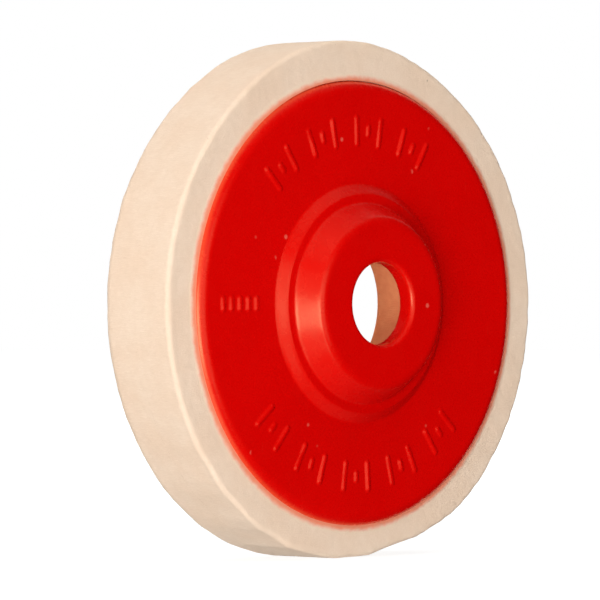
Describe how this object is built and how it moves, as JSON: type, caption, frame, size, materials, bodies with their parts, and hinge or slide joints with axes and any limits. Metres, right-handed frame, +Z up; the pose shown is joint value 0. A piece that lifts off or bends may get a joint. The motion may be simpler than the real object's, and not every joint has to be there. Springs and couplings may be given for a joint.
{
  "type": "felt polishing wheel",
  "caption": "Thick felt disc bonded to a moulded plastic backing plate with a raised stepped hub and a plain arbor hole, for polishing on a powered spindle.",
  "frame": {"origin": "centre of the wheel: on its axis, halfway between the hub's front face and the felt's back face", "axes": "+Y along the wheel's axis from the hub towards the felt's working face, +Z up as the wheel stands on its rim, +X to the right seen from the hub side"},
  "size_m": [0.1, 0.0256, 0.1],
  "materials": {
    "red_plastic": "moulded, semi-gloss",
    "felt": "pressed wool felt, matt",
    "adhesive": "cured contact glue"
  },
  "bodies": {
    "root": {"backing_plate": "red_plastic", "plate_adhesive": "adhesive", "front_felt_ply": "felt", "ply_adhesive": "adhesive", "back_felt_ply": "felt"}
  },
  "joints": []
}
